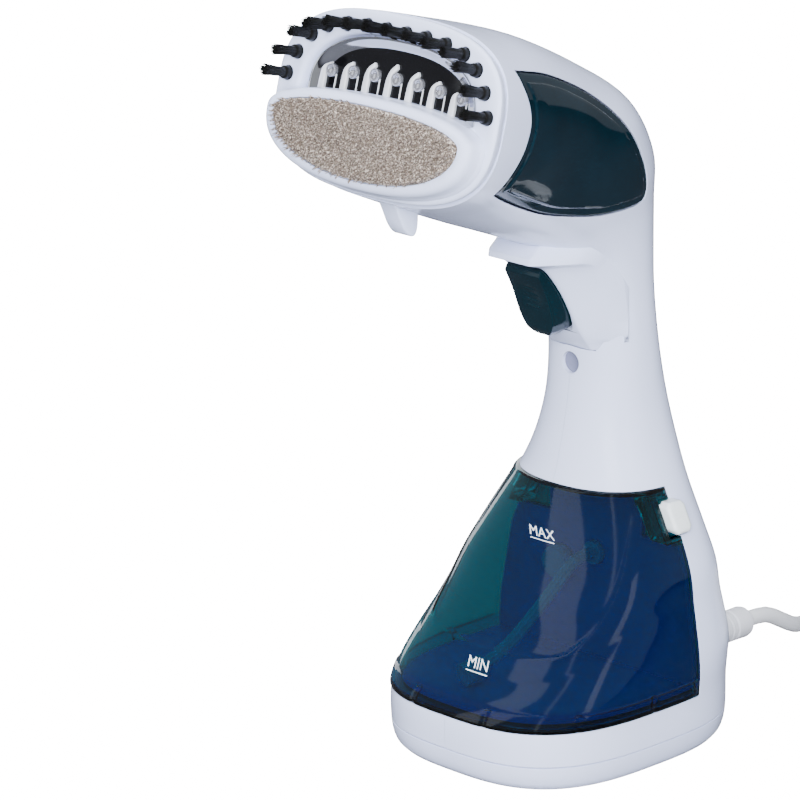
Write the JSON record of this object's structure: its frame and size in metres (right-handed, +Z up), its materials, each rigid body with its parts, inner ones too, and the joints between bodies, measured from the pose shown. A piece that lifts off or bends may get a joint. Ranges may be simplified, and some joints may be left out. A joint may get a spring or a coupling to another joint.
{
  "type": "handheld garment steamer",
  "caption": "Upright handheld garment steamer with a see-through front tank, sprung trigger, steam head with bristles and lint pad, and a mains cord.",
  "frame": {"origin": "bottom centre of the appliance, without its cord, on the surface it stands on", "axes": "+Z up the handle, -Y the way the steam head faces, +X across to the appliance's left as its head faces you"},
  "size_m": [0.1325, 0.3492, 0.2996],
  "materials": {
    "white_plastic": "glossy moulded white with a lavender tint",
    "tank_dock_plastic": "moulded white",
    "window_plastic": "very dark navy, high gloss",
    "tank_plastic": "see-through dark blue and teal",
    "trigger_plastic": "dark teal, satin gloss",
    "fitting_plastic": "natural moulded plastic",
    "clear_tube": "clear tube",
    "silicone_hose": "milky silicone",
    "rubber": "matt rubber",
    "spring_steel": "bright steel",
    "black_plastic": "black nylon",
    "lamp_lens": "milky lamp lens",
    "polished_metal": "mirror polished",
    "cast_aluminium": "as cast",
    "sheet_steel": "rolled sheet",
    "ceramic": "ceramic case, plastic stands in",
    "pump_metal": "dark plated can",
    "lint_fabric": "short brown-beige pile",
    "cord_jacket": "light grey jacket",
    "tie_strap": "flat plastic strap",
    "plug_metal": "plated pins"
  },
  "bodies": {
    "housing": {"housing_left": "white_plastic", "housing_right": "white_plastic", "window_left": "window_plastic", "window_right": "window_plastic", "housing_screw_1": "spring_steel", "housing_screw_2": "spring_steel", "housing_screw_3": "spring_steel", "base_cover": "white_plastic", "rubber_foot_1": "rubber", "rubber_foot_2": "rubber", "rubber_foot_3": "rubber", "rubber_foot_4": "rubber", "tank_dock": "tank_dock_plastic", "latch_spring_left": "spring_steel", "latch_spring_right": "spring_steel", "trigger_bezel": "white_plastic", "trigger_pin": "spring_steel", "trigger_spring": "spring_steel", "micro_switch": "black_plastic", "indicator_lens": "lamp_lens", "steam_plate": "polished_metal", "steam_nozzle_1": "polished_metal", "steam_nozzle_2": "polished_metal", "steam_nozzle_3": "polished_metal", "steam_nozzle_4": "polished_metal", "steam_nozzle_5": "polished_metal", "steam_nozzle_6": "polished_metal", "steam_nozzle_7": "polished_metal", "front_bezel": "white_plastic", "heater_block": "cast_aluminium", "heater_cover": "sheet_steel", "thermostat": "ceramic", "thermal_fuse": "sheet_steel", "pump_bracket": "fitting_plastic", "pump": "pump_metal", "hose_tank_to_pump": "silicone_hose", "hose_pump_to_heater": "silicone_hose", "cord_gland": "cord_jacket", "cord_tube": "cord_jacket", "cord_coil": "cord_jacket", "cord_tie": "tie_strap", "plug_body": "cord_jacket", "plug_pin_left": "plug_metal", "plug_pin_right": "plug_metal"},
    "tank": {"tank_shell": "tank_plastic", "tank_back": "tank_plastic", "outlet_valve": "fitting_plastic", "suction_tube": "clear_tube", "suction_filter": "fitting_plastic"},
    "filler": {"filler_plug": "fitting_plastic"},
    "button_left": {"latch_button_left": "white_plastic"},
    "button_right": {"latch_button_right": "white_plastic"},
    "trigger": {"trigger": "trigger_plastic"},
    "brush": {"brush_frame": "white_plastic", "bristle_strip": "black_plastic", "lint_pad": "lint_fabric"},
    "release_tab": {"brush_release_tab": "white_plastic"}
  },
  "joints": [
    {"name": "tank_removal", "type": "slide", "parent": "housing", "child": "tank", "axis": [0, -1, 0], "range_m": [0, 0.09]},
    {"name": "filler_plug_pull", "type": "slide", "parent": "tank", "child": "filler", "axis": [0, 1, 0], "range_m": [0, 0.009]},
    {"name": "latch_button_left_press", "type": "slide", "parent": "housing", "child": "button_left", "axis": [1, 0, 0], "range_m": [0, 0.0022], "stiffness_N_per_m": 400, "deforming": ["latch_spring_left"]},
    {"name": "latch_button_right_press", "type": "slide", "parent": "housing", "child": "button_right", "axis": [-1, 0, 0], "range_m": [0, 0.0022], "stiffness_N_per_m": 400, "deforming": ["latch_spring_right"]},
    {"name": "trigger_squeeze", "type": "hinge", "parent": "housing", "child": "trigger", "pos_m": [0, 0.0131, 0.1875], "axis": [1, 0, 0], "range_deg": [0, 7], "stiffness_Nm_per_rad": 0.5, "deforming": ["trigger_spring"]},
    {"name": "brush_removal", "type": "slide", "parent": "housing", "child": "brush", "axis": [0, -0.9659, 0.2588], "range_m": [0, 0.04]},
    {"name": "release_tab_flex", "type": "hinge", "parent": "housing", "child": "release_tab", "pos_m": [0, -0.0604, 0.233], "axis": [1, 0, 0], "range_deg": [0, 4], "stiffness_Nm_per_rad": 0.5}
  ]
}
